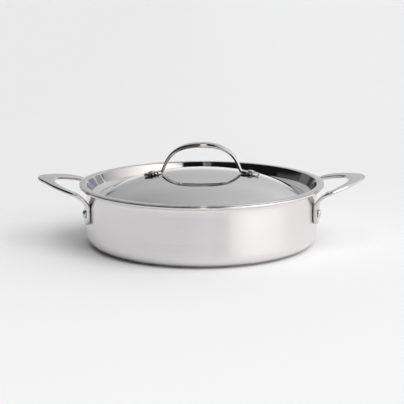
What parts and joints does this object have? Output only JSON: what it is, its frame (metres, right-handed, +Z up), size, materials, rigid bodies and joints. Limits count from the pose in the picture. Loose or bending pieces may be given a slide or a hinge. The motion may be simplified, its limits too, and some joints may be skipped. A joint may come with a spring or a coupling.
{
  "type": "braiser with lid",
  "caption": "Shallow round stainless-steel braising pan with riveted loop handles, a flared rim and a domed lid that carries an arched strap handle",
  "frame": {"origin": "centre of the flat underside, on the surface that the pan stands on", "axes": "+X runs from handle to handle, +Z is up, and +Y completes the right-handed frame, away from the side that the picture shows"},
  "size_m": [0.3836, 0.286, 0.1187],
  "materials": {
    "pot_steel": "fine satin brushing round the wall",
    "side_handle_steel": "soft polish over fine brushing",
    "side_rivet_steel": "polished heads",
    "lid_steel": "bright polish",
    "lid_handle_steel": "polished",
    "lid_rivet_steel": "polished heads"
  },
  "bodies": {
    "pot": {"pot_body": "pot_steel", "side_handle_left": "side_handle_steel", "side_handle_right": "side_handle_steel", "side_rivet_left_front": "side_rivet_steel", "side_rivet_left_rear": "side_rivet_steel", "side_rivet_right_front": "side_rivet_steel", "side_rivet_right_rear": "side_rivet_steel"},
    "lid": {"lid_shell": "lid_steel", "lid_handle": "lid_handle_steel", "lid_rivet_left": "lid_rivet_steel", "lid_rivet_right": "lid_rivet_steel"}
  },
  "joints": [
    {"name": "lid_lift", "type": "slide", "parent": "pot", "child": "lid", "axis": [0, 0, 1], "range_m": [0, 0.12]}
  ]
}
